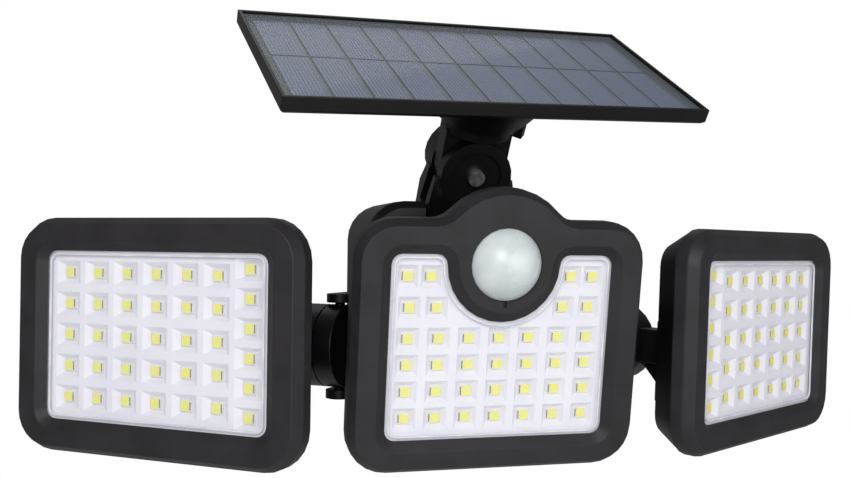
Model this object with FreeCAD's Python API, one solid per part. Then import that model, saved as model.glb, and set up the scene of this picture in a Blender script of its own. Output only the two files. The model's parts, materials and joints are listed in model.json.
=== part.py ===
import FreeCAD, Part
import math
import os

# Wall-held three-head solar light. Millimetres, +Z up, the light faces -Y.
# The origin is the middle of the wall plate's back face, on the wall.

V = FreeCAD.Vector
X = V(1, 0, 0)
Y = V(0, 1, 0)
Z = V(0, 0, 1)

# housing and wall plate
HOUSING_W = 90.0
HOUSING_H = 97.0
HOUSING_R = 16.0
HOUSING_FRONT = -48.0
HOUSING_CHAMFER = 3.0
PLATE_T = 6.0
WALL = 2.4
CLIP = 9.0

# straight lengths that each curved outline is made of
CORNER_STEPS = 6
SMALL_STEPS = 4
BLEND_STEPS = 3
BUMP_STEPS = 8
BAY_STEPS = 14
RING_SIDES = 24

# where the joints are
CENTRE_PIVOT = V(0, -57.0, -7.0)
CENTRE_LENS = V(0, -84.0, -5.0)
CENTRE_PITCH = 8.4
SIDE_PIVOT = V(57.5, -55.0, -10.5)
SIDE_REACH = V(57.0, 44.4, -3.6)
LEFT_SWING = -36.3
RIGHT_SWING = 29.7
RIGHT_TILT = 1.8
ARM_PIVOT = V(0, -32.0, 40.0)
DRUM = V(0, -38.6, 65.3)
DRUM_RISE = 27.0
PANEL_ROLL = 2.2
PANEL_WEDGE = 6.0
PANEL_SWIVEL = 7.7

# light heads: opening width and height, ring width at the sides and at top and bottom,
# the bevel round the ring, the slope down to the lens, and depths along the head's own Y
CENTRE_OPEN = (88.5, 72.0)
SIDE_OPEN = (100.0, 66.0)
RING = (14.4, 13.2)
BEVEL = 2.6
SLOPE = 4.0
FRONT = -2.8
RIM = 1.5
SPLIT = 7.0
BACK = 18.0
BACK_TAPER = 7.0
BACK_HOLLOW = 8.5
BACK_WALL = 1.4
CORNER = 16.0
SKIN = 2.0
OPEN_R = 4.0
LENS_T = 1.5
TRAY_DEPTH = 3.7
BOARD_T = 1.5

# LED package and the small end of its well, half sizes
LED_HALF = (2.3, 2.1)
WELL_HALF = (2.65, 2.45)

# motion sensor in the centre head
SENSOR_Z = 32.5
DOME_R = 14.2
DOME_H = 10.0
DOME_T = 1.4
BUMP_R = 29.2
BUMP_BLEND = 10.0
BAY_R = 22.8
BAY_HIDDEN = 21.0

# side joints: discs, stub pins and trunnion
DISC_R = 16.5
DISC_HALF = 4.0
DISC_OUT = 14.0
EAR_GAP = 0.8
EAR_T = 3.5
YOKE_BACK = 32.5
YOKE_FRONT = -46.0
YOKE_REAR = -30.0
EAR_R = 5.4
PIN_R = 2.0
PIN_IN = 7.0
TRUNNION_R = 5.0
FIT = 0.05

# arm and drum
RECESS_HALF = 20.5
NECK_HALF = 19.0
BOLT_R = 2.45
CHEEK_R = 15.4
CHEEK_FRONT = -15.0
CHEEK_REAR = 15.0
SLOT = (-8.7, 2.2)
LUG_R = 14.5
SCREW_R = 2.0

# solar panel: heights above the drum's centre, measured square to the panel
PANEL_W = 185.0
PANEL_D = 86.0
PANEL_T = 7.0
PANEL_TOP = 42.0
PANEL_OFFSET = 14.7
TRAY_WALL = 1.6
SWIVEL_BASE = 22.6
CONE_FLOOR = 25.2
CELL_COLUMNS = 11

# mode button in the underside
BUTTON = V(12.0, -25.5, -HOUSING_H / 2.0)
BUTTON_HALF = (4.0, 3.0)


def save(name, shape):
    shape.exportStep("parts/" + name + ".step")


def box(x0, x1, y0, y1, z0, z1):
    return Part.makeBox(x1 - x0, y1 - y0, z1 - z0, V(x0, y0, z0))


def rod(radius, length, base, axis):
    return Part.makeCylinder(radius, length, base, axis)


def moved(shape, placement):
    out = shape.copy()
    out.Placement = placement.multiply(out.Placement)
    return out


def turn(axis, angle):
    return FreeCAD.Placement(V(0, 0, 0), FreeCAD.Rotation(axis, angle))


def shift(vector):
    return FreeCAD.Placement(vector, FreeCAD.Rotation())


def mirrored(shape):
    return shape.mirror(V(0, 0, 0), X)


def plate(points, travel):
    """Closed flat outline through the points, pushed along the travel vector."""
    return Part.Face(Part.makePolygon(points + points[:1])).extrude(travel)


def hexagon(radius, start, depth, axis):
    """Hexagonal prism along X or Z, starting at that distance along the axis."""
    points = []
    for k in range(6):
        u = radius * math.cos(math.radians(60.0 * k))
        v = radius * math.sin(math.radians(60.0 * k))
        points.append(V(start, u, v) if axis == X else V(u, v, start))
    return plate(points, axis * depth)


def sweep(cx, cz, r, a0, a1, steps):
    """Points (x, z) along an arc about (cx, cz) from angle a0 to a1."""
    points = []
    for k in range(steps + 1):
        t = math.radians(a0 + (a1 - a0) * k / steps)
        points.append((cx + r * math.cos(t), cz + r * math.sin(t)))
    return points


def wire(points, y):
    """Closed outline through (x, z) points in the plane at that Y."""
    return Part.makePolygon([V(x, y, z) for x, z in points + points[:1]])


def rounded(w, h, r, steps):
    """Rectangle with rounded corners, clockwise from the right end of its top edge."""
    a = w / 2.0 - r
    b = h / 2.0 - r
    points = []
    for cx, cz, start in ((a, b, 90), (a, -b, 0), (-a, -b, -90), (-a, b, -180)):
        points += sweep(cx, cz, r, start, start - 90, steps)
    return points


def bump(top, radius, blend):
    """Left to right along a top edge that rises round the sensor."""
    rise = top + blend - SENSOR_Z
    side = math.sqrt((radius + blend) ** 2 - rise ** 2)
    lean = math.degrees(math.atan2(rise, side))
    points = sweep(-side, top + blend, blend, -90, -lean, BLEND_STEPS)
    points += sweep(0, SENSOR_Z, radius, 180 - lean, lean, BUMP_STEPS)[1:]
    return points + sweep(side, top + blend, blend, 180 + lean, 270, BLEND_STEPS)[1:]


def bay(top, radius, blend):
    """Left to right along a top edge that dips round the sensor."""
    rise = top - blend - SENSOR_Z
    side = math.sqrt((radius + blend) ** 2 - rise ** 2)
    lean = math.degrees(math.atan2(rise, side))
    points = sweep(-side, top - blend, blend, 90, -lean, SMALL_STEPS)
    points += sweep(0, SENSOR_Z, radius, 180 - lean, 360 + lean, BAY_STEPS)[1:]
    return points + sweep(side, top - blend, blend, 180 + lean, 90, SMALL_STEPS)[1:]


def ring(radius, y):
    """Many-sided ring about the Y axis."""
    return wire(sweep(0, 0, radius, 360, 360.0 / RING_SIDES, RING_SIDES - 1), y)


def loft(wires):
    """Solid of flat facets through outlines of equally many corners."""
    rows = [[v.Point for v in w.OrderedVertexes] for w in wires]
    faces = [Part.Face(wires[0]), Part.Face(wires[-1])]
    for low, high in zip(rows, rows[1:]):
        for k in range(len(low)):
            corners = [low[k - 1], low[k], high[k], high[k - 1], low[k - 1]]
            faces.append(Part.Face(Part.makePolygon(corners)))
    shell = Part.makeShell(faces)
    shell.sewShape()
    solid = Part.makeSolid(shell)
    if solid.Volume < 0:
        solid.reverse()
    return solid


def prism(outline, depth):
    return Part.Face(outline).extrude(V(0, depth, 0))


def disc(radius, length, base, axis):
    """Many-sided disc from the base point along the axis."""
    placement = FreeCAD.Placement(base, FreeCAD.Rotation(Y, axis))
    return moved(prism(ring(radius, 0.0), length), placement)


def clipped_block(w, h, c, y0, y1):
    """Block with straight clipped corners, for hidden hollows."""
    a = w / 2.0
    b = h / 2.0
    corners = [
        (a - c, b), (a, b - c), (a, -b + c), (a - c, -b),
        (-a + c, -b), (-a, -b + c), (-a, b - c), (-a + c, b),
    ]
    return plate([V(x, y0, z) for x, z in corners], V(0, y1 - y0, 0))


# light heads, in the head's own frame: lens plane at Y 0, front towards -Y


def outer_wire(size, sensor, grow, y):
    w = size[0] + 2 * RING[0] + 2 * grow
    h = size[1] + 2 * RING[1] + 2 * grow
    points = rounded(w, h, CORNER + grow, CORNER_STEPS)
    if sensor:
        points += bump(h / 2.0, BUMP_R + grow, BUMP_BLEND - grow)
    return wire(points, y)


def open_wire(size, sensor, grow, y):
    w = size[0] + 2 * grow
    h = size[1] + 2 * grow
    points = rounded(w, h, OPEN_R + grow, SMALL_STEPS)
    if sensor:
        points += bay(h / 2.0, BAY_R - grow, OPEN_R + grow)
    return wire(points, y)


def hollow(size, wall, y0, y1):
    """Hidden hollow of a head, that far inside its outline."""
    return clipped_block(size[0] + 2 * (RING[0] - wall), size[1] + 2 * (RING[1] - wall), CLIP, y0, y1)


def bezel(size, sensor):
    """Front frame: bevelled outer edge, flat ring and a sloped bay down to the lens."""
    body = loft([outer_wire(size, sensor, -BEVEL, FRONT), outer_wire(size, sensor, 0.0, RIM)])
    body = body.fuse(prism(outer_wire(size, sensor, 0.0, RIM), SPLIT - RIM))
    body = body.cut(hollow(size, SKIN, 0.0, 12.0))
    lean = -SLOPE / FRONT
    body = body.cut(loft([
        open_wire(size, sensor, SLOPE + lean, FRONT - 1.0), open_wire(size, sensor, -0.7 * lean, 0.7)]))
    if sensor:
        body = body.cut(moved(prism(ring(DOME_R, FRONT - 1.0), 14.0), shift(V(0, 0, SENSOR_Z))))
        low = SENSOR_Z - DOME_R
        body = body.cut(box(-0.7, 0.7, FRONT - 1.0, FRONT + 1.2, low - 2.4, low + 1.0))
    return body.removeSplitter()


def hidden_outline(size, sensor, grow, y):
    """Edge of a piece held behind the bezel, with a straight-sided bay round the sensor."""
    a = size[0] / 2.0 + grow
    b = size[1] / 2.0 + grow
    corners = [(a, -b), (-a, -b), (-a, b)]
    if sensor:
        corners.append((-BAY_HIDDEN, b))
        for angle in (180, 225, 270, 315, 360):
            t = math.radians(angle)
            corners.append((BAY_HIDDEN * math.cos(t), SENSOR_Z + BAY_HIDDEN * math.sin(t)))
        corners.append((BAY_HIDDEN, b))
    corners.append((a, b))
    return [V(x, y, z) for x, z in corners]


def lens(size, sensor):
    """Clear plate seated behind the sloped bay."""
    return plate(hidden_outline(size, sensor, 1.6, 0.0), V(0, LENS_T, 0))


def side_lamps():
    """Well places and sizes: six columns of five and an inner column of six."""
    out = []
    for i in range(6):
        for j in range(5):
            out.append((-41.3 + 13.75 * i, -24.6 + 12.3 * j, 11.6, 9.4))
    for j in range(6):
        out.append((41.2, -27.25 + 10.9 * j, 12.0, 8.4))
    return out


def centre_lamps():
    """Four full rows of seven below, two broken rows of four beside the sensor."""
    out = []
    for z in (-28.3, -17.85, -7.4, 3.05):
        for i in range(7):
            out.append((-36.51 + 12.17 * i, z, 9.3, 9.2))
    for z, near, far, w in ((15.1, 25.7, 36.4, 8.8), (27.2, 28.4, 37.5, 8.1)):
        for x in (-far, -near, near, far):
            out.append((x, z, w, 9.2))
    return out


def reflector(size, sensor, lamps):
    """White tray with one pyramid well for every LED, ridges left between them."""
    tray = plate(hidden_outline(size, sensor, 1.2, LENS_T), V(0, TRAY_DEPTH - LENS_T, 0))
    wells = []
    for x, z, w, h in lamps:
        a = w / 2.0
        b = h / 2.0
        u, v = WELL_HALF
        wells.append(Part.makeWedge(
            x - a, LENS_T - 0.2, z - b, z - v, x - u, x + a, TRAY_DEPTH + 0.2, z + b, z + v, x + u))
    return tray.cut(Part.makeCompound(wells))


def led_board(size):
    a = size[0] / 2.0 + 1.2
    b = size[1] / 2.0 + 1.2
    return box(-a, a, TRAY_DEPTH, TRAY_DEPTH + BOARD_T, -b, b)


def leds(lamps):
    u, v = LED_HALF
    return Part.makeCompound([
        box(x - u, x + u, TRAY_DEPTH - 1.2, TRAY_DEPTH, z - v, z + v) for x, z, w, h in lamps])


def back_shell(size, sensor):
    """Rear cover: a step at the parting line, tapered sides, a flat back and board posts."""
    body = loft([outer_wire(size, sensor, -0.4, SPLIT), outer_wire(size, sensor, -BACK_TAPER, BACK)])
    body = body.cut(hollow(size, BACK_HOLLOW, SPLIT - 1.0, BACK - BACK_WALL))
    posts = []
    for x in (-size[0] / 2.0, size[0] / 2.0 - 3.0):
        for z in (-size[1] / 2.0, size[1] / 2.0 - 3.0):
            posts.append(box(x, x + 3.0, TRAY_DEPTH + BOARD_T, BACK - 1.0, z, z + 3.0))
    return body.fuse(posts).removeSplitter()


def dome_solid(radius, height, zones, skirt):
    """Cap of flat facets in rings, as sensor lenses have, on a straight skirt behind Y 0."""
    sphere = (radius ** 2 + height ** 2) / (2.0 * height)
    half = math.asin(radius / sphere)
    rings = []
    for k in range(zones):
        t = half * (1.0 - float(k) / zones)
        rings.append(ring(sphere * math.sin(t), sphere - height - sphere * math.cos(t)))
    return loft(rings).fuse(prism(ring(radius, 0.0), skirt))


def sensor_dome():
    """Low dome, hollow behind, on a short skirt inside the bezel's hole."""
    body = dome_solid(DOME_R, DOME_H, 7, 5.0)
    body = body.cut(dome_solid(DOME_R - DOME_T, DOME_H - DOME_T, 4, 6.0))
    return moved(body.removeSplitter(), shift(V(0, FRONT + 0.6, SENSOR_Z)))


def sensor_can():
    return box(-4.0, 4.0, TRAY_DEPTH - 4.0, TRAY_DEPTH, SENSOR_Z - 4.0, SENSOR_Z + 4.0)


def side_mount():
    """Foot on the back of a side head, with the arm to its half of the tilt disc."""
    px, py, pz = SIDE_REACH.x, SIDE_REACH.y, SIDE_REACH.z
    x0 = px - DISC_OUT
    x1 = px - DISC_HALF - 0.3
    half = disc(DISC_R, x1 - x0, V(x0, py, pz), X)
    arm = box(x0, x1, BACK, py - 6.0, pz - 7.0, pz + 7.0)
    web = plate([
        V(x0, BACK, pz - 6.0), V(x0, py - 10.0, pz - 6.0), V(x0, BACK + 2.0, pz - 21.0),
        V(x0, BACK, pz - 21.0),
    ], V(3.2, 0, 0))
    foot = box(x0 - 8.0, x1 + 2.0, BACK, BACK + 2.0, pz - 22.0, pz + 11.0)
    bore = rod(TRUNNION_R + FIT, 20.0, V(x0 - 3.0, py, pz), X)
    return half.fuse([arm, web, foot]).cut(bore).removeSplitter()


def centre_mount():
    """Foot on the centre head's back, with the barrel that goes between the housing lugs."""
    y = CENTRE_PIVOT.y - CENTRE_LENS.y
    z = CENTRE_PIVOT.z - CENTRE_LENS.z
    barrel = rod(6.0, 27.9, V(-13.95, y, z), X)
    block = box(-13.95, 13.95, BACK, y, z - 6.0, z + 6.0)
    foot = box(-20.0, 20.0, BACK, BACK + 1.6, z - 13.0, z + 13.0)
    bore = rod(PIN_R + FIT, 60.0, V(-30.0, y, z), X)
    return barrel.fuse([block, foot]).cut(bore).removeSplitter()


# side joints, in a frame at the swing axis: the light head lies towards -X


def knuckle():
    """Inner half of the tilt disc, bored for the stub pins, with the tilt trunnion."""
    body = disc(DISC_R, 2 * DISC_HALF, V(-DISC_HALF, 0, 0), X)
    for z in (-DISC_R - 4.0, DISC_R - PIN_IN - 0.1):
        body = body.cut(rod(PIN_R + FIT, PIN_IN + 4.1, V(0, 0, z), Z))
    return body.fuse(rod(TRUNNION_R, DISC_OUT + 0.1, V(-DISC_OUT - 0.1, 0, 0), X))


def tilt_nut():
    """Hexagonal cap on the trunnion's end, which keeps the head's disc on it."""
    return hexagon(7.6, -DISC_OUT - 2.7, 2.6, X)


def tangent_angle(px, py, cx, cy, r, sign):
    """Direction from a circle's centre to where a line from the point touches it."""
    reach = math.acos(r / math.hypot(px - cx, py - cy))
    return math.atan2(py - cy, px - cx) + sign * reach


def yoke_plate(z0):
    """Floor or roof of the right yoke: it runs out to a round ear on the swing pin's axis."""
    cx, cy = SIDE_PIVOT.x, SIDE_PIVOT.y
    side = HOUSING_W / 2.0
    start = math.degrees(tangent_angle(side - 2.0, YOKE_FRONT, cx, cy, EAR_R, 1))
    end = math.degrees(tangent_angle(side, YOKE_REAR, cx, cy, EAR_R, -1)) + 360.0
    points = sweep(cx, cy, EAR_R, start, end, 10)
    points += [(side, YOKE_REAR), (YOKE_BACK, YOKE_REAR), (YOKE_BACK, YOKE_FRONT), (side - 2.0, YOKE_FRONT)]
    return plate([V(x, y, z0) for x, y in points], V(0, 0, EAR_T))


def right_yoke():
    """Cup in the housing's side that the tilt disc swings in, with both ears and stub pins."""
    px, py, pz = SIDE_PIVOT.x, SIDE_PIVOT.y, SIDE_PIVOT.z
    gap = DISC_R + EAR_GAP
    side = HOUSING_W / 2.0
    low = pz - gap
    high = pz + gap
    back = box(YOKE_BACK, YOKE_BACK + WALL, YOKE_FRONT, YOKE_REAR, low, high)
    rear = box(YOKE_BACK, side, YOKE_REAR - WALL, YOKE_REAR, low, high)
    under = low - EAR_T
    fin = plate([V(side, -40.0, under), V(56.0, -40.0, under), V(side, -40.0, under - 8.0)], V(0, 3.0, 0))
    upper_pin = rod(PIN_R, PIN_IN + 1.8, V(px, py, pz + DISC_R - PIN_IN), Z)
    lower_pin = rod(PIN_R, PIN_IN + 1.8, V(px, py, low - 1.0), Z)
    body = yoke_plate(high).fuse([yoke_plate(under), back, rear, fin, upper_pin, lower_pin])
    return body.removeSplitter()


# housing


def lug(x):
    """Front lug for the centre head's pin: flat sides with a round end."""
    y, z = CENTRE_PIVOT.y, CENTRE_PIVOT.z
    root = HOUSING_FRONT + 1.0
    points = [(root, z - 6.0), (root, z + 6.0)] + sweep(y, z, 6.0, 90, 270, 10)
    return plate([V(x, u, v) for u, v in points], V(5.5, 0, 0))


def side_notch():
    """Right-hand opening at the housing's front corner that the yoke fills."""
    top = DISC_R + EAR_GAP + EAR_T
    return box(YOKE_BACK, HOUSING_W, -60.0, YOKE_REAR, SIDE_PIVOT.z - top, SIDE_PIVOT.z + top)


def arm_recess(wall):
    """Notch in the top for the arm's foot, or the block that walls it."""
    a = RECESS_HALF + wall
    return box(-a, a, -60.0, -16.0 + wall, 30.0 - wall, 60.0)


def housing_cavity():
    front = HOUSING_FRONT + HOUSING_CHAMFER
    hollow = clipped_block(HOUSING_W - 2 * WALL, HOUSING_H - 2 * WALL, CLIP, front, 10.0)
    return hollow.cut(arm_recess(WALL))


def board_posts():
    front = HOUSING_FRONT + HOUSING_CHAMFER - 0.5
    return [box(x, x + 3.0, front, -22.0, z, z + 3.0) for x in (-26.0, 23.0) for z in (-40.0, -13.0)]


def housing_wire(inset, y):
    return wire(rounded(HOUSING_W - inset, HOUSING_H - inset, HOUSING_R - inset / 2.0, CORNER_STEPS), y)


def rear_housing():
    """Shell open to the wall plate, with a top recess for the arm and a notch for each yoke."""
    front = HOUSING_FRONT + HOUSING_CHAMFER
    body = loft([housing_wire(2 * HOUSING_CHAMFER, HOUSING_FRONT), housing_wire(0.0, front)])
    body = body.fuse(prism(housing_wire(0.0, front), -PLATE_T - front))
    body = body.cut(housing_cavity()).fuse(board_posts())
    body = body.cut(arm_recess(0.0)).cut(side_notch()).cut(mirrored(side_notch()))
    body = body.fuse([lug(-19.75), lug(14.25)])
    body = body.cut(rod(PIN_R, 39.5, V(-19.75, CENTRE_PIVOT.y, CENTRE_PIVOT.z), X))
    reach = RECESS_HALF + WALL
    body = body.cut(rod(BOLT_R, 2 * reach, V(-reach, ARM_PIVOT.y, ARM_PIVOT.z), X))
    return body.cut(button_block(0.3, -1.0, 4.0)).removeSplitter()


def keyhole(x, z):
    """Round entry with a narrower slot above it."""
    lean = math.degrees(math.asin(2.2 / 4.5))
    points = sweep(x, z, 4.5, 90 - lean, lean - 270, 16) + sweep(x, z + 9.0, 2.2, 180, 0, 8)
    return prism(wire(points, -15.0), 20.0)


def wall_plate():
    """Flat plate against the wall, with two keyholes and shallow pockets between ribs."""
    body = prism(housing_wire(0.0, -PLATE_T), PLATE_T)
    for x in (-40.0, 2.0):
        for z in (-36.0, -16.0):
            body = body.cut(box(x, x + 38.0, -2.4, 1.0, z, z + 18.0))
    for x in (-30.0, 30.0):
        body = body.cut(keyhole(x, 12.0))
    return body


def battery_cell():
    return disc(9.1, 64.8, V(-32.4, -34.4, 17.6), X)


def battery_cradle():
    """Base on the housing's front wall with an end plate at each end of the cell."""
    front = HOUSING_FRONT + HOUSING_CHAMFER
    base = box(-34.0, 34.0, front, front + 1.5, 10.6, 24.6)
    ends = [box(x, x + 1.6, front, -30.0, 10.6, 24.6) for x in (-34.0, 32.4)]
    return base.fuse(ends)


def control_board():
    """Board on the housing's posts, with its charging chip, coil and connector block."""
    board = box(-28.0, 28.0, -22.0, -20.4, -42.0, -8.0)
    blocks = [
        box(-12.0, 0.0, -20.4, -18.6, -26.0, -14.0), box(8.0, 16.0, -20.4, -14.4, -32.0, -24.0),
        box(-24.0, -16.0, -20.4, -13.4, -20.0, -12.0),
    ]
    return board.fuse(blocks)


def mode_switch():
    return box(BUTTON.x - 3.5, BUTTON.x + 3.5, -27.5, -22.0, -41.0, -37.6)


def button_block(grow, low, high):
    a = BUTTON_HALF[0] + grow
    b = BUTTON_HALF[1] + grow
    return box(BUTTON.x - a, BUTTON.x + a, BUTTON.y - b, BUTTON.y + b, BUTTON.z + low, BUTTON.z + high)


def mode_button():
    """Push button with a wider inner flange, its face proud of the underside."""
    return button_block(0.0, -1.5, 6.1).fuse(button_block(1.2, WALL + 0.2, WALL + 1.4))


# arm and panel, in the drum's frame: its axis along Y


def neck():
    """Forked arm: two round cheeks on a flared column over a hinge barrel."""
    drum = shift(DRUM).multiply(turn(X, DRUM_RISE))
    front = disc(CHEEK_R, SLOT[0] - CHEEK_FRONT, V(0, CHEEK_FRONT, 0), Y)
    rear = disc(CHEEK_R, CHEEK_REAR - SLOT[1], V(0, SLOT[1], 0), Y)
    side = plate([
        V(-30, -41.0, 40.0), V(-30, -47.5, 50.0), V(-30, -49.0, 58.0), V(-30, -30.0, 67.0),
        V(-30, -22.0, 60.0), V(-30, -23.0, 40.0),
    ], V(60, 0, 0))
    face = plate([
        V(-NECK_HALF, -60, 36.0), V(NECK_HALF, -60, 36.0), V(18.8, -60, 49.0), V(15.2, -60, 68.0),
        V(-15.2, -60, 68.0), V(-18.8, -60, 49.0),
    ], V(0, 60, 0))
    barrel = disc(9.0, 2 * NECK_HALF, V(-NECK_HALF, ARM_PIVOT.y, ARM_PIVOT.z), X)
    body = side.common(face).fuse([moved(front, drum), moved(rear, drum), barrel])
    body = body.cut(moved(box(-30.0, 30.0, SLOT[0], SLOT[1], -17.0, 30.0), drum))
    body = body.cut(moved(disc(11.0, 3.2, V(0, CHEEK_FRONT - 2.0, 0), Y), drum))
    body = body.cut(moved(rod(SCREW_R, 30.0, V(0, -17.0, 0), Y), drum))
    bore = rod(BOLT_R + FIT, 2 * NECK_HALF, V(-NECK_HALF, ARM_PIVOT.y, ARM_PIVOT.z), X)
    return body.cut(bore).removeSplitter()


def drum_screw():
    """Pan head screw through the front cheek and the foot into the rear cheek."""
    seat = CHEEK_FRONT + 1.2
    return rod(3.5, 2.4, V(0, seat - 2.4, 0), Y).fuse(rod(SCREW_R, 13.0 - seat, V(0, seat, 0), Y))


def swivel_foot():
    """Lug between the cheeks, rising to a round flange with a spigot."""
    y0 = SLOT[0] + 0.3
    y1 = SLOT[1] - 0.3
    body = disc(LUG_R, y1 - y0, V(0, y0, 0), Y).fuse(box(-LUG_R, LUG_R, y0, y1, 0.0, 17.8))
    wedge = turn(X, PANEL_WEDGE)
    flange = disc(15.0, SWIVEL_BASE - 17.4, V(0, 0, 17.4), Z)
    spigot = rod(7.0, CONE_FLOOR + 0.3 - 17.4, V(0, 0, 17.4), Z)
    body = body.fuse([moved(flange, wedge), moved(spigot, wedge)])
    return body.cut(rod(SCREW_R + FIT, 30.0, V(0, -15.0, 0), Y)).removeSplitter()


def swivel_retainer():
    """Hexagonal nut on the spigot's end, which keeps the panel's cone on it."""
    return hexagon(10.0, CONE_FLOOR + 0.3, 1.6, Z)


def panel_tray():
    """Shallow tray with ribs, and a hollow cone below for the swivel."""
    a = PANEL_W / 2.0
    low = PANEL_TOP - PANEL_T
    y0 = PANEL_OFFSET - PANEL_D / 2.0
    y1 = PANEL_OFFSET + PANEL_D / 2.0
    tray = box(-a, a, y0, y1, low, PANEL_TOP)
    lower = [e for e in tray.Edges if all(abs(v.Z - low) < 0.01 for v in e.Vertexes)]
    tray = tray.makeChamfer(1.4, lower)
    t = TRAY_WALL
    tray = tray.cut(box(-a + t, a - t, y0 + t, y1 - t, low + t, PANEL_TOP + 1.0))
    ribs = [box(-a + 1.0, a - 1.0, y, y + 1.2, low + 1.0, low + 3.3) for y in (y0 + 22.0, y0 + 66.0)]
    ribs += [box(x, x + 1.2, y0 + 1.0, y1 - 1.0, low + 1.0, low + 3.3) for x in (-56.0, 54.8)]
    base = SWIVEL_BASE + 0.2
    cone = loft([ring(18.5, base), ring(27.0, low + 0.6)])
    cone = moved(cone, FreeCAD.Placement(V(0, 0, 0), FreeCAD.Rotation(Y, Z)))
    stop = moved(box(15.6, 20.5, -2.5, 2.5, base - 2.6, CONE_FLOOR), turn(Z, -34.0 - PANEL_SWIVEL))
    tray = tray.fuse(ribs + [cone, stop])
    tray = tray.cut(disc(15.4, low + t + 1.0 - CONE_FLOOR, V(0, 0, CONE_FLOOR), Z))
    return tray.cut(rod(7.0 + FIT, 8.0, V(0, 0, 20.0), Z)).removeSplitter()


def panel_layer(z0, z1, inset):
    a = PANEL_W / 2.0 - inset
    b = PANEL_D / 2.0 - inset
    return box(-a, a, PANEL_OFFSET - b, PANEL_OFFSET + b, z0, z1)


def cell_rows():
    """Row depth and the front edge of the first of the two rows of cells."""
    return (PANEL_D - 10.0) / 2.0, PANEL_OFFSET - PANEL_D / 2.0 + 5.0


def panel_cells(z0, z1):
    pitch = (PANEL_W - 10.0) / CELL_COLUMNS
    depth, front = cell_rows()
    out = []
    for i in range(CELL_COLUMNS):
        x = 5.0 - PANEL_W / 2.0 + pitch * i
        for y in (front, front + depth):
            out.append(box(x + 0.5, x + pitch - 0.5, y + 0.6, y + depth - 0.6, z0, z1))
    return Part.makeCompound(out)


# where each sub-assembly stands


def foot_placement():
    return shift(DRUM).multiply(turn(X, DRUM_RISE)).multiply(turn(Y, PANEL_ROLL))


def centre_placement():
    reach = CENTRE_LENS - CENTRE_PIVOT
    return shift(CENTRE_PIVOT).multiply(turn(X, CENTRE_PITCH)).multiply(shift(reach))


def swing_placement(side, swing):
    return shift(V(side * SIDE_PIVOT.x, SIDE_PIVOT.y, SIDE_PIVOT.z)).multiply(turn(Z, swing))


def save_head(prefix, size, sensor, lamps, placement, flip):
    shapes = {
        "bezel": bezel(size, sensor),
        "lens": lens(size, sensor),
        "reflector": reflector(size, sensor, lamps),
        "led_board": led_board(size),
        "leds": leds(lamps),
        "back_shell": back_shell(size, sensor),
        "mount": centre_mount() if sensor else side_mount(),
    }
    for name, shape in shapes.items():
        if flip:
            shape = mirrored(shape)
        save(prefix + "_" + name, moved(shape, placement))


def save_side(prefix, side, swing, tilt):
    """One side head with its knuckle; the right one is the left one's mirror image."""
    base = swing_placement(side, swing)
    tilted = base.multiply(turn(X, tilt))
    reach = V(side * SIDE_REACH.x, -SIDE_REACH.y, -SIDE_REACH.z)
    save_head(prefix, SIDE_OPEN, False, side_lamps(), tilted.multiply(shift(reach)), side > 0)
    for name, shape in (("knuckle", knuckle()), ("tilt_nut", tilt_nut())):
        if side > 0:
            shape = mirrored(shape)
        save(prefix + "_" + name, moved(shape, base))


def save_root():
    save("rear_housing", rear_housing())
    save("left_yoke", mirrored(right_yoke()))
    save("right_yoke", right_yoke())
    save("wall_plate", wall_plate())
    save("battery_cell", battery_cell())
    save("battery_cradle", battery_cradle())
    save("control_board", control_board())
    save("mode_switch", mode_switch())
    save("mode_button", mode_button())
    save("centre_hinge_pin", rod(PIN_R, 39.5, V(-19.75, CENTRE_PIVOT.y, CENTRE_PIVOT.z), X))
    reach = RECESS_HALF + WALL
    save("arm_hinge_bolt", rod(BOLT_R, 2 * reach, V(-reach, ARM_PIVOT.y, ARM_PIVOT.z), X))


def save_arm():
    foot = foot_placement()
    wedge = foot.multiply(turn(X, PANEL_WEDGE))
    panel = wedge.multiply(turn(Z, PANEL_SWIVEL))
    save("neck", neck())
    save("drum_screw", moved(drum_screw(), shift(DRUM).multiply(turn(X, DRUM_RISE))))
    save("swivel_foot", moved(swivel_foot(), foot))
    save("swivel_retainer", moved(swivel_retainer(), wedge))
    save("panel_tray", moved(panel_tray(), panel))
    rib_top = PANEL_TOP - PANEL_T + 3.3
    save("panel_substrate", moved(panel_layer(rib_top, rib_top + 1.1, 1.8), panel))
    save("panel_cells", moved(panel_cells(rib_top + 1.1, rib_top + 1.5), panel))
    save("panel_glass", moved(panel_layer(rib_top + 1.5, rib_top + 2.7, 1.8), panel))


def main():
    os.makedirs("parts", exist_ok=True)
    save_root()
    save_arm()
    save_head("centre", CENTRE_OPEN, True, centre_lamps(), centre_placement(), False)
    save("sensor_dome", moved(sensor_dome(), centre_placement()))
    save("sensor_can", moved(sensor_can(), centre_placement()))
    save_side("left", -1, LEFT_SWING, 0.0)
    save_side("right", 1, RIGHT_SWING, RIGHT_TILT)


main()
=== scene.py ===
import json
import math
import bmesh
import bpy
from mathutils import Matrix, Vector

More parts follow.
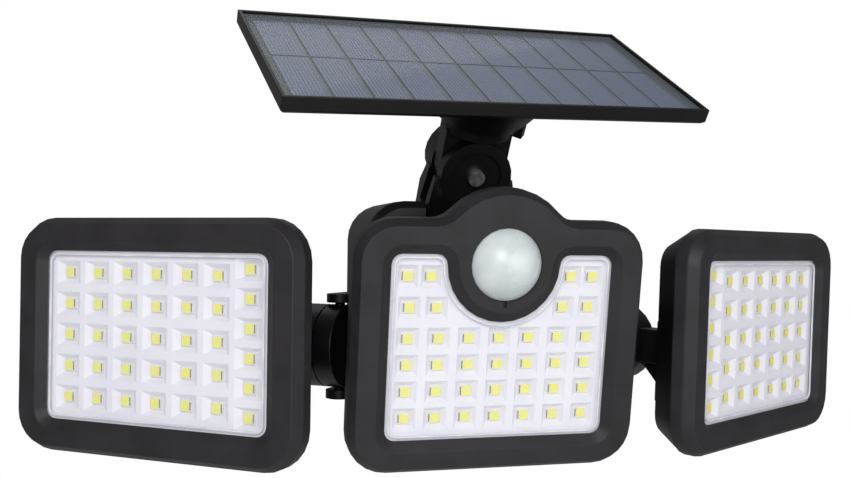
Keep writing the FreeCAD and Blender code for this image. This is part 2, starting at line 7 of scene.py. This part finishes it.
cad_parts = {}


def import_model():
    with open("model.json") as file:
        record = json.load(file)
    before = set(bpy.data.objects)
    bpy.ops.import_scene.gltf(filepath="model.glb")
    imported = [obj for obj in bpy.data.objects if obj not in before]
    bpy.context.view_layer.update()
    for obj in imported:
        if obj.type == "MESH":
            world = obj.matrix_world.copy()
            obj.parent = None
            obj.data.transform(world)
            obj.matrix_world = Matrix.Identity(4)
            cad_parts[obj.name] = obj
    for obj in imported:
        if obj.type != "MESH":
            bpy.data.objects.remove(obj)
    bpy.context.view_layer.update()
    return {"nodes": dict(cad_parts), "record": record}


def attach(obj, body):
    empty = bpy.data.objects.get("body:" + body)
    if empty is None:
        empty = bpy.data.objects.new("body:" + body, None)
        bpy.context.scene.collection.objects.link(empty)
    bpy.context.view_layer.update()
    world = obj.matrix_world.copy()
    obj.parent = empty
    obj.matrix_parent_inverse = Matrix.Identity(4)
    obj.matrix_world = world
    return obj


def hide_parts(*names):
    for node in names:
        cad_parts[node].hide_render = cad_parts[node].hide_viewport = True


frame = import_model()

# Wall-held solar light with three lamp heads, in the CAD's frame. Sizes are in millimetres, and
# MM and SCALE turn them to the scene's metres.
MM = 0.001
NODES = frame["nodes"]

# lamp heads: the window's width and height, the ring round it, and depths along the head's y axis
CENTRE_OPEN = (88.5, 72.0)
SIDE_OPEN = (100.0, 66.0)
RING = (14.4, 13.2)
FACE_Y = -2.8
LENS_BACK = 1.35
BOARD_Y = 3.7
BACK_Y = 18.0
SCREW_INSET = 15.5

# an LED's package, window and dark contact: width, depth and height
PACKAGE_SIZE = (4.6, 1.0, 4.2)
WINDOW_SIZE = (3.7, 0.3, 3.8)
CONTACT_SIZE = (0.5, 0.2, 3.3)

# motion sensor: height of its centre, the bay round it, and its lens
SENSOR_Z = 32.5
BAY_R = 22.8
DOME_R = 14.05
DOME_H = 9.9

# solar panel: size, offset from its swivel, plain edge, heights, and the fingers on its cells
PANEL_W = 185.0
PANEL_D = 86.0
PANEL_OFFSET = 14.7
PANEL_EDGE = 5.0
CELL_TOP = 39.8
GLASS_TOP = 41.0
CELL_COLUMNS = 11
FINGERS = 9
FIRST_FINGER = 1.3
FINGER_PITCH = 1.42
FINGER_W = 0.5


def place(*vector):
    return Matrix.Translation(Vector(vector))


def turn(axis, degrees):
    return Matrix.Rotation(math.radians(degrees), 4, axis)


# where each assembly stands, as in the CAD; the right head is drawn as a mirrored left one
SCALE = Matrix.Scale(MM, 4)
CENTRE = SCALE @ place(0, -57, -7) @ turn("X", 8.4) @ place(0, -27, 2)
LEFT = SCALE @ place(-57.5, -55, -10.5) @ turn("Z", -36.3) @ place(-57, -44.4, 3.6)
RIGHT = (SCALE @ place(57.5, -55, -10.5) @ turn("Z", 29.7) @ turn("X", 1.8)
         @ place(57, -44.4, 3.6) @ Matrix.Diagonal((-1, 1, 1, 1)))
DRUM = SCALE @ place(0, -38.6, 65.3) @ turn("X", 27)
PANEL = DRUM @ turn("Y", 2.2) @ turn("X", 6) @ turn("Z", 7.7)


# materials


def linear(code):
    """The linear colour of an sRGB hex code."""
    out = []
    for k in (1, 3, 5):
        c = int(code[k:k + 2], 16) / 255.0
        out.append(c / 12.92 if c <= 0.04045 else ((c + 0.055) / 1.055) ** 2.4)
    return (out[0], out[1], out[2], 1.0)


def add(tree, kind, settings=None, **links):
    """Add a node with its settings; each link, by name or as i and a number, gives an input its value."""
    node = tree.nodes.new(kind)
    for name, value in (settings or {}).items():
        setattr(node, name, value)
    for name, value in links.items():
        socket = node.inputs[int(name[1:])] if name[1:].isdigit() else node.inputs[name.replace("_", " ")]
        if isinstance(value, bpy.types.NodeSocket):
            tree.links.new(value, socket)
        else:
            socket.default_value = value
    return node


def uneven(name, spot_mm, detail, colours=None, rough=None, blend=(0.35, 0.65), grit_mm=0.0,
           relief_mm=0.0, **values):
    """A finish whose colour drifts over soft spots of that size.

    Its roughness and relief follow the same spots, or a finer grit where one is given.
    """
    material = bpy.data.materials.new(name)
    material.use_nodes = True
    tree = material.node_tree
    tree.nodes.clear()
    shader = add(tree, "ShaderNodeBsdfPrincipled", **values)
    add(tree, "ShaderNodeOutputMaterial", Surface=shader.outputs[0])
    where = add(tree, "ShaderNodeTexCoord").outputs["Object"]
    spots = add(tree, "ShaderNodeTexNoise", Vector=where, Scale=1.0 / (spot_mm * MM), Detail=detail)
    grit = spots
    if grit_mm:
        grit = add(tree, "ShaderNodeTexNoise", Vector=where, Scale=1.0 / (grit_mm * MM), Detail=2.0)
    if colours:
        drift = add(tree, "ShaderNodeValToRGB", Fac=spots.outputs[0])
        for stop, position, code in zip(drift.color_ramp.elements, blend, colours):
            stop.position = position
            stop.color = linear(code)
        tree.links.new(drift.outputs[0], shader.inputs["Base Color"])
    if rough:
        spread = add(tree, "ShaderNodeMapRange", Value=grit.outputs[0], i3=rough[0], i4=rough[1])
        tree.links.new(spread.outputs[0], shader.inputs["Roughness"])
    if relief_mm:
        bump = add(tree, "ShaderNodeBump", Height=grit.outputs[0], Distance=relief_mm * MM, Strength=1.0)
        tree.links.new(bump.outputs[0], shader.inputs["Normal"])
    return material


def moulded_abs(name, colours, rough, specular):
    """Spark-textured ABS: the grain breaks highlights into a soft satin."""
    # real grain is about 0.1 mm and would not show, so it is drawn at 0.5 mm
    return uneven(name, 14.0, 3.0, colours, rough, grit_mm=0.5, relief_mm=0.02,
                  IOR=1.5, Specular_IOR_Level=specular)


def charcoal_abs():
    """Textured ABS of the bezels: charcoal with a faint warm grey sheen."""
    return moulded_abs("moulded_charcoal_abs", ("#242224", "#2A282B"), (0.45, 0.6), 0.3)


def black_abs():
    """Moulded ABS of the shells, arms and tray: black with a dull satin."""
    return moulded_abs("moulded_black_abs", ("#080809", "#0C0C0D"), (0.34, 0.5), 0.3)


def clear_polycarbonate():
    """Clear moulded polycarbonate: seen through, with a faint cool haze and a sharp gloss."""
    return uneven("clear_moulded_polycarbonate", 30.0, 1.0, rough=(0.05, 0.12),
                  Base_Color=linear("#EEF0F6"), IOR=1.58, Alpha=0.14)


def lip_with_painted_edge_glow():
    """The raised lip of the same clear moulding, made whitish: a painted highlight for light gathered in its
    edge.
    """
    return uneven("clear_lip_with_painted_glow", 9.0, 2.0, ("#DADCE6", "#F1F2F8"), (0.12, 0.25),
                  IOR=1.58, Alpha=0.75)


def white_reflector():
    """Moulded white polypropylene of the reflectors: bright, satin, with a faint lilac tint."""
    return uneven("moulded_white_polypropylene", 22.0, 2.0, ("#EDEBF5", "#F3F1F8"), (0.28, 0.42),
                  IOR=1.49, Specular_IOR_Level=0.4)


def phosphor():
    """Silicone with yellow phosphor, cast in the LED package: a matt lemon yellow."""
    return uneven("cast_yellow_phosphor_silicone", 0.9, 2.0, ("#F0EC30", "#F6F450"), (0.35, 0.5), IOR=1.41)


def deep_phosphor():
    """The same silicone with a denser load of phosphor, a stronger yellow."""
    return uneven("cast_deep_yellow_phosphor_silicone", 0.9, 2.0, ("#EEE404", "#F4EC14"), (0.35, 0.5),
                  IOR=1.41)


def package_plastic():
    """White polyamide of the LED package: bright and matt."""
    return uneven("white_led_package_polyamide", 1.2, 1.0, ("#E4E2E6", "#F2F1F4"), (0.4, 0.55), IOR=1.52)


def contact_metal():
    """Dark oxidised edge of the LED's contact, dull grey."""
    return uneven("oxidised_contact_metal", 0.6, 1.0, ("#4A4A42", "#6E6D62"), (0.35, 0.5), Metallic=0.6)


def solder_mask():
    """White solder mask on glass-fibre board: satin, with faint unevenness."""
    return uneven("white_solder_mask", 6.0, 3.0, ("#DCDCE2", "#E8E8EC"), (0.3, 0.45), IOR=1.5)


def milky_polyethylene():
    """Moulded milky polyethylene of the sensor's lens: light scatters inside, satin outside."""
    return uneven("milky_moulded_polyethylene", 11.0, 2.0, ("#C8D0D2", "#DCE2E4"), (0.22, 0.34), (0.3, 0.7),
                  IOR=1.51, Specular_IOR_Level=0.45, Subsurface_Weight=0.35,
                  Subsurface_Radius=(1.0, 0.95, 0.9), Subsurface_Scale=0.002)


def zinc_steel():
    """Zinc-plated steel, turned or headed: pale grey metal with fine uneven plating."""
    return uneven("zinc_plated_steel", 2.0, 3.0, ("#C4C6C8", "#DEE0E2"), (0.3, 0.46), Metallic=1.0)


def silicone_rubber():
    """Moulded silicone rubber of the push button: matt dark grey."""
    return uneven("moulded_silicone_rubber", 0.6, 2.0, ("#1E1E20", "#262628"), (0.6, 0.75), relief_mm=0.02,
                  IOR=1.41, Specular_IOR_Level=0.3)


def shrink_sleeve():
    """Blue shrink film on the battery cell: thin, glossy, faintly creased."""
    return uneven("blue_shrink_film", 5.0, 3.0, ("#1F4C8C", "#2A5CA4"), (0.18, 0.3), relief_mm=0.05, IOR=1.5)


def backing_laminate():
    """Dark laminate behind the solar cells: dull charcoal with a green cast."""
    return uneven("dark_panel_laminate", 10.0, 2.0, ("#1C2422", "#26302E"), (0.4, 0.55),
                  IOR=1.5, Specular_IOR_Level=0.25)


def silicon_wafer():
    """Coated silicon: deep navy with soft cloudy changes of blue from its thin film."""
    return uneven("coated_silicon_wafer", 18.0, 3.0, ("#0E1936", "#16264C"), (0.25, 0.4), (0.3, 0.7),
                  IOR=1.6, Specular_IOR_Level=0.5)


def silver_paste():
    """Printed silver fingers: thin fired paste, pale blue-grey and matt."""
    return uneven("fired_silver_paste", 1.5, 2.0, ("#5F6C94", "#7480A8"), (0.4, 0.55), Metallic=0.35)


def panel_resin():
    """Clear cast resin over the cells: seen through, level and glossy."""
    return uneven("clear_cast_resin", 60.0, 1.0, rough=(0.03, 0.06),
                  Base_Color=linear("#DCE6F0"), IOR=1.5, Alpha=0.08)


CHARCOAL = charcoal_abs()
BLACK = black_abs()
CLEAR = clear_polycarbonate()
# the lens lip's whitish, half-opaque colour is a painted highlight standing for light gathered in its clear
# edge
LIP_PAINTED_GLOW = lip_with_painted_edge_glow()
WHITE = white_reflector()
PHOSPHOR = phosphor()
DEEP_PHOSPHOR = deep_phosphor()
PACKAGE = package_plastic()
CONTACT = contact_metal()
BOARD = solder_mask()
MILKY = milky_polyethylene()
STEEL = zinc_steel()
RUBBER = silicone_rubber()
SLEEVE = shrink_sleeve()
LAMINATE = backing_laminate()
WAFER = silicon_wafer()
SILVER = silver_paste()
RESIN = panel_resin()


# building pieces


def body_of(node):
    """The moving body that a CAD node belongs to."""
    return next(b for b, ns in frame["record"]["behaviour"]["bodies"].items() if node in ns)


def piece_from(name, bm, matrix, material, body, replaced=(), smooth=32.0):
    """Place a bmesh by a matrix, turn its faces outwards and make it a piece of that body."""
    bm.transform(matrix)
    bmesh.ops.recalc_face_normals(bm, faces=bm.faces)
    mesh = bpy.data.meshes.new(name)
    bm.to_mesh(mesh)
    bm.free()
    mesh.shade_smooth()
    mesh.set_sharp_from_angle(angle=math.radians(smooth))
    mesh.materials.append(material)
    piece = bpy.data.objects.new(name, mesh)
    bpy.context.scene.collection.objects.link(piece)
    even = piece.modifiers.new("even_shading", "WEIGHTED_NORMAL")
    even.keep_sharp = True
    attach(piece, body)
    if replaced:
        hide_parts(*replaced)


def merged_copy(node):
    """A CAD node's triangles joined into flat faces."""
    bm = bmesh.new()
    bm.from_mesh(NODES[node].data)
    bmesh.ops.remove_doubles(bm, verts=bm.verts, dist=2e-6)
    bmesh.ops.dissolve_limit(bm, angle_limit=math.radians(0.6), verts=bm.verts, edges=bm.edges)
    return bm


def sharp_edges(bm, angle=28.0):
    """Edges between two faces that turn by at least the angle."""
    return [e for e in bm.edges if len(e.link_faces) == 2 and e.calc_face_angle() > math.radians(angle)]


def bevel(bm, geom, width, segments, affect="EDGES"):
    """Round edges, or a flat face's corners, by a width in the bmesh's own units."""
    bmesh.ops.bevel(bm, geom=geom, offset=width, offset_type="OFFSET", segments=segments, profile=0.5,
                    affect=affect, clamp_overlap=affect == "EDGES", material=-1)


def softened(node, width_mm, material, segments=3):
    """The node's own shape with its edges rounded as a mould leaves them."""
    bm = merged_copy(node)
    bevel(bm, sharp_edges(bm), width_mm * MM, segments)
    piece_from(node + "_moulded", bm, Matrix.Identity(4), material, body_of(node), [node])


def block(bm, centre, size):
    """A box in millimetres, added to the bmesh."""
    shape = place(*centre) @ Matrix.Diagonal((size[0], size[1], size[2], 1.0))
    bmesh.ops.create_cube(bm, size=1.0, matrix=shape)


def spun(bm, profile, steps):
    """Full turn of a profile of (radius, y) points about the Y axis."""
    verts = [bm.verts.new((r, y, 0.0)) for r, y in profile]
    edges = [bm.edges.new(pair) for pair in zip(verts, verts[1:])]
    bmesh.ops.spin(bm, geom=verts + edges, cent=(0, 0, 0), axis=(0, 1, 0), dvec=(0, 0, 0),
                   angle=2 * math.pi, steps=steps, use_merge=True)
    bmesh.ops.remove_doubles(bm, verts=bm.verts, dist=1e-4)


def of_kind(geom, kind):
    """The verts, edges or faces in what a bmesh operator made."""
    return [g for g in geom if isinstance(g, kind)]


# lamp heads


def side_lamps():
    """LED places (x, z) in a side head: six columns of five and a closer one of six."""
    out = [(-41.3 + 13.75 * i, -24.6 + 12.3 * j) for i in range(6) for j in range(5)]
    return out + [(41.2, -27.25 + 10.9 * j) for j in range(6)]


def centre_lamps():
    """LED places (x, z) in the centre head: four rows of seven and two that the sensor's bay parts."""
    out = [(-36.51 + 12.17 * i, z) for z in (-28.3, -17.85, -7.4, 3.05) for i in range(7)]
    for z, near, far in ((15.1, 25.7, 36.4), (27.2, 28.4, 37.5)):
        out += [(x, z) for x in (-far, -near, near, far)]
    return out


def led_packages(head, lamps, matrix, body, side, yellow):
    """White packages with a yellow window and one dark contact edge, on the LED places."""
    base = BOARD_Y - 1.0
    packages = bmesh.new()
    windows = bmesh.new()
    contacts = bmesh.new()
    for x, z in lamps:
        block(packages, (x, base + 0.5, z), PACKAGE_SIZE)
        block(windows, (x - side * 0.3, base - 0.02, z), WINDOW_SIZE)
        block(contacts, (x + side * 1.95, base - 0.02, z), CONTACT_SIZE)
    for bm, width in ((packages, 0.12), (windows, 0.08), (contacts, 0.05)):
        bevel(bm, list(bm.edges), width, 2)
    piece_from(head + "_led_packages", packages, matrix, PACKAGE, body, [head + "_leds"])
    piece_from(head + "_led_windows", windows, matrix, yellow, body)
    piece_from(head + "_led_contacts", contacts, matrix, CONTACT, body)


def rounded_corners(bm, corners):
    """Flat face through (x, z, radius) corners, each rounded by a vertex bevel."""
    verts = [bm.verts.new((x, 0.0, z)) for x, z, radius in corners]
    bm.faces.new(verts)
    for vert, (x, z, radius) in zip(verts, corners):
        bevel(bm, [vert], radius, 5 if radius < 10 else 12, "VERTICES")
    bmesh.ops.remove_doubles(bm, verts=bm.verts, dist=1e-4)


def window_corners(size, sensor, inset, radius):
    """Corners of the lamp window, drawn in by the inset, with the bay round the sensor."""
    a = size[0] / 2.0 - inset
    b = size[1] / 2.0 - inset
    corners = [(-a, -b, radius), (a, -b, radius), (a, b, radius)]
    if sensor:
        bay = BAY_R + inset
        low = SENSOR_Z - bay
        corners += [(bay, b, radius), (bay, low, bay - 0.01), (-bay, low, bay - 0.01), (-bay, b, radius)]
    return corners + [(-a, b, radius)]


def lens_lip(head, size, sensor, matrix, body):
    """Low raised lip that runs round the clear lens just inside the bezel."""
    bm = bmesh.new()
    rounded_corners(bm, window_corners(size, sensor, 0.9, 3.4))
    ring = bmesh.ops.inset_region(bm, faces=list(bm.faces), thickness=0.75, use_even_offset=True,
                                  use_boundary=True)["faces"]
    inner = [f for f in bm.faces if f not in ring]
    bmesh.ops.delete(bm, geom=inner, context="FACES_ONLY")
    grown = bmesh.ops.extrude_face_region(bm, geom=list(bm.faces))["geom"]
    top = of_kind(grown, bmesh.types.BMVert)
    bmesh.ops.translate(bm, verts=top, vec=(0, -0.55, 0))
    raised = set(top)
    edges = [e for e in bm.edges if raised.issuperset(e.verts) and e.calc_face_angle(0.0) > 1.0]
    bevel(bm, edges, 0.22, 3)
    bmesh.ops.translate(bm, verts=bm.verts, vec=(0, 0.05, 0))
    piece_from(head + "_lens_lip", bm, matrix, LIP_PAINTED_GLOW, body)


def lens_plate(head, matrix, body):
    """The clear plate, a hair thinner than its CAD solid so that it clears the reflector's ridges."""
    bm = merged_copy(head + "_lens")
    bm.transform(matrix.inverted())
    for v in bm.verts:
        if v.co.y > 1.0:
            v.co.y = LENS_BACK
    bevel(bm, sharp_edges(bm), 0.15, 2)
    piece_from(head + "_lens_plate", bm, matrix, CLEAR, body, [head + "_lens"])


def cover_screws(head, size, matrix, body):
    """Four countersunk cross screws that hold the back shell to the bezel."""
    bm = bmesh.new()
    a = size[0] / 2.0 + RING[0] - SCREW_INSET
    b = size[1] / 2.0 + RING[1] - SCREW_INSET
    for x in (-a, a):
        for z in (-b, b):
            part = cross_head(2.6, 0.9)
            bmesh.ops.rotate(part, verts=part.verts, matrix=Matrix.Rotation(math.pi, 3, "X"))
            bmesh.ops.translate(part, verts=part.verts, vec=(x, BACK_Y + 0.15, z))
            append(bm, part)
    piece_from(head + "_cover_screws", bm, matrix, STEEL, body)


def append(bm, part):
    """Move another bmesh's faces into this one."""
    mesh = bpy.data.meshes.new("joined")
    part.to_mesh(mesh)
    part.free()
    bm.from_mesh(mesh)
    bpy.data.meshes.remove(mesh)


def cross_head(radius, height):
    """Pan head facing -Y with a cross recess pressed into its crown."""
    bm = bmesh.new()
    bmesh.ops.create_grid(bm, x_segments=10, y_segments=10, size=radius * 0.62)
    bmesh.ops.rotate(bm, verts=bm.verts, matrix=Matrix.Rotation(math.radians(90), 3, "X"))
    deep = []
    for face in bm.faces:
        near, far = sorted((abs(face.calc_center_median().x), abs(face.calc_center_median().z)))
        if near < radius * 0.13 and far < radius * 0.5:
            deep.append(face)
    pressed = bmesh.ops.extrude_face_region(bm, geom=deep)["geom"]
    bmesh.ops.delete(bm, geom=deep, context="FACES_ONLY")
    bottom = of_kind(pressed, bmesh.types.BMVert)
    bmesh.ops.translate(bm, verts=bottom, vec=(0, height * 0.75, 0))
    bmesh.ops.scale(bm, verts=bottom, vec=(0.8, 1.0, 0.8))
    rim = [e for e in bm.edges if e.is_boundary]
    for reach, depth in ((0.86, 0.2), (1.0, 0.6), (1.0, 1.0)):
        grown = bmesh.ops.extrude_edge_only(bm, edges=rim)["geom"]
        rim = of_kind(grown, bmesh.types.BMEdge)
        for v in of_kind(grown, bmesh.types.BMVert):
            outward = Vector((v.co.x, 0.0, v.co.z)).normalized() * radius * reach
            v.co = Vector((outward.x, height * depth, outward.z))
    bmesh.ops.translate(bm, verts=bm.verts, vec=(0, -height, 0))
    return bm


def lamp_head(head, size, sensor, lamps, matrix, side, yellow):
    """One head: its mouldings, LEDs, lens and screws; side is where each LED's contact lies."""
    body = head + "_head"
    softened(head + "_bezel", 0.6, CHARCOAL)
    softened(head + "_back_shell", 0.7, BLACK)
    softened(head + "_mount", 0.5, BLACK)
    softened(head + "_reflector", 0.25, WHITE, 2)
    led_packages(head, lamps, matrix, body, side, yellow)
    lens_plate(head, matrix, body)
    lens_lip(head, size, sensor, matrix, body)
    cover_screws(head, size, matrix, body)


def sensor_lens():
    """Smooth milky dome with a rounded foot, in the bezel's hole."""
    bm = bmesh.new()
    sphere = (DOME_R ** 2 + DOME_H ** 2) / (2.0 * DOME_H)
    half = math.asin(DOME_R / sphere)
    profile = []
    for k in range(19):
        t = half * k / 18.0
        profile.append((sphere * math.sin(t), sphere - DOME_H - sphere * math.cos(t)))
    profile += [(DOME_R, 4.8), (DOME_R - 1.3, 4.8), (DOME_R - 1.3, 0.3), (6.4, -6.6), (0.0, -8.4)]
    spun(bm, profile, 72)
    matrix = CENTRE @ place(0, FACE_Y + 0.6, SENSOR_Z)
    piece_from("sensor_lens", bm, matrix, MILKY, "centre_head", ["sensor_dome"], 50.0)


# solar panel


def finger_lines():
    """Printed silver fingers: nine across each cell, leaving a plain band at its right."""
    bm = bmesh.new()
    pitch = (PANEL_W - 2 * PANEL_EDGE) / CELL_COLUMNS
    depth = (PANEL_D - 2 * PANEL_EDGE) / 2.0
    front = PANEL_OFFSET - PANEL_D / 2.0 + PANEL_EDGE
    for i in range(CELL_COLUMNS):
        first = PANEL_EDGE - PANEL_W / 2.0 + pitch * i + FIRST_FINGER
        for k in range(FINGERS):
            for y in (front, front + depth):
                middle = (first + FINGER_PITCH * k, y + depth / 2.0, CELL_TOP + 0.02)
                block(bm, middle, (FINGER_W, depth - 2.0, 0.04))
    piece_from("cell_fingers", bm, PANEL, SILVER, "panel")


def resin_cover():
    """Clear cover over the cells, a hair above them, with a rounded edge."""
    bm = bmesh.new()
    thick = GLASS_TOP - CELL_TOP - 0.12
    block(bm, (0, PANEL_OFFSET, GLASS_TOP - thick / 2.0), (PANEL_W - 3.6, PANEL_D - 3.6, thick))
    bevel(bm, list(bm.edges), 0.25, 2)
    piece_from("panel_cover_plate", bm, PANEL, RESIN, "panel", ["panel_glass"])


# arm


def drum_screw():
    """Cross-recessed pan head in the drum's front recess."""
    bm = cross_head(3.5, 2.3)
    bmesh.ops.translate(bm, verts=bm.verts, vec=(0, -13.8, 0))
    piece_from("drum_screw_head", bm, DRUM, STEEL, "arm")


def bare_nodes():
    """Finish the CAD nodes that keep their own shape."""
    finishes = {
        "battery_cell": SLEEVE, "battery_cradle": BLACK, "control_board": BOARD, "mode_switch": BLACK,
        "centre_hinge_pin": STEEL, "arm_hinge_bolt": STEEL, "drum_screw": STEEL, "sensor_can": STEEL,
        "panel_substrate": LAMINATE, "panel_cells": WAFER, "left_led_board": BOARD, "centre_led_board": BOARD,
        "right_led_board": BOARD,
    }
    for node, material in finishes.items():
        mesh = NODES[node].data
        mesh.materials.clear()
        mesh.materials.append(material)


def build():
    """Every piece of the light."""
    lamp_head("centre", CENTRE_OPEN, True, centre_lamps(), CENTRE, -1, PHOSPHOR)
    lamp_head("left", SIDE_OPEN, False, side_lamps(), LEFT, 1, PHOSPHOR)
    lamp_head("right", SIDE_OPEN, False, side_lamps(), RIGHT, 1, DEEP_PHOSPHOR)
    sensor_lens()
    for node, width in (("rear_housing", 0.8), ("wall_plate", 0.5), ("left_yoke", 0.5), ("right_yoke", 0.5),
                        ("left_knuckle", 0.4), ("right_knuckle", 0.4), ("neck", 0.7), ("swivel_foot", 0.5),
                        ("panel_tray", 0.5)):
        softened(node, width, BLACK)
    for node in ("left_tilt_nut", "right_tilt_nut", "swivel_retainer"):
        softened(node, 0.3, STEEL)
    softened("mode_button", 0.4, RUBBER)
    bare_nodes()
    finger_lines()
    resin_cover()
    drum_screw()


# floor, light and camera


def floor():
    """Round pale floor below the object, which takes its soft shadow."""
    bm = bmesh.new()
    bmesh.ops.create_circle(bm, cap_ends=True, segments=96, radius=0.6)
    bmesh.ops.translate(bm, verts=bm.verts, vec=(0, 0, -0.25))
    mesh = bpy.data.meshes.new("floor")
    bm.to_mesh(mesh)
    bm.free()
    disc = bpy.data.objects.new("floor", mesh)
    bpy.context.scene.collection.objects.link(disc)
    mesh.materials.append(uneven("pale_painted_floor", 80.0, 2.0, ("#EDEDED", "#F2F2F2"),
                                 Roughness=0.9, Specular_IOR_Level=0.1))


def world():
    """White to the camera and through clear parts; a plain soft level for light and gloss."""
    sky = bpy.data.worlds.new("studio")
    bpy.context.scene.world = sky
    sky.use_nodes = True
    tree = sky.node_tree
    tree.nodes.clear()
    path = add(tree, "ShaderNodeLightPath")
    seen = add(tree, "ShaderNodeMath", {"operation": "MAXIMUM"},
               i0=path.outputs["Is Camera Ray"], i1=path.outputs["Is Transmission Ray"])
    strength = add(tree, "ShaderNodeMapRange", Value=seen.outputs[0], i3=0.22, i4=1.0)
    back = add(tree, "ShaderNodeBackground", Color=linear("#FFFFFF"), Strength=strength.outputs[0])
    add(tree, "ShaderNodeOutputWorld", Surface=back.outputs[0])


def lamp(name, size, power, where, aim, height=None):
    """Soft rectangular light at a point, turned to another point."""
    data = bpy.data.lights.new(name, "AREA")
    data.shape = "RECTANGLE"
    data.size = size
    data.size_y = height or size
    data.energy = power
    light = bpy.data.objects.new(name, data)
    light.location = where
    light.rotation_mode = "QUATERNION"
    light.rotation_quaternion = (Vector(aim) - Vector(where)).to_track_quat("-Z", "Y")
    bpy.context.scene.collection.objects.link(light)
    return light


def camera():
    """Camera at the photograph's viewpoint, a little left of square and turned slightly on its axis."""
    azimuth = math.radians(-14.89)
    height = math.radians(-0.52)
    roll = math.radians(0.67)
    distance = 0.36237
    target = Vector((-0.03022, -0.084, 0.03231))
    back = Vector((math.sin(azimuth) * math.cos(height), -math.cos(azimuth) * math.cos(height),
                   math.sin(height)))
    right = (-back).cross(Vector((0, 0, 1))).normalized()
    up = back.cross(right)
    across = math.cos(roll) * right + math.sin(roll) * up
    over = -math.sin(roll) * right + math.cos(roll) * up
    data = bpy.data.cameras.new("camera")
    data.sensor_width = 36.0
    data.sensor_fit = "HORIZONTAL"
    data.lens = 40.52
    data.clip_start = 0.01
    cam = bpy.data.objects.new("camera", data)
    turned = Matrix((across, over, back)).transposed().to_4x4()
    cam.matrix_world = Matrix.Translation(target + back * distance) @ turned
    bpy.context.scene.collection.objects.link(cam)
    bpy.context.scene.camera = cam


build()
floor()
world()
lamp("key", 0.7, 12.5, (-0.5, -1.25, 0.5), (0, -0.06, 0.0))
lamp("fill", 0.9, 6.5, (0.45, -1.35, 0.15), (0, -0.06, 0.0))
# the broad overhead light stands behind the object and turned, so the panel's cover reflects it
overhead = lamp("overhead", 1.0, 1.8, (0.162, 0.751, 0.9), (0.162, 0.751, 0.0), 0.5)
overhead.rotation_quaternion = Matrix.Rotation(math.radians(20.65), 3, "Z").to_quaternion()
camera()
bpy.context.scene.view_settings.view_transform = "Standard"
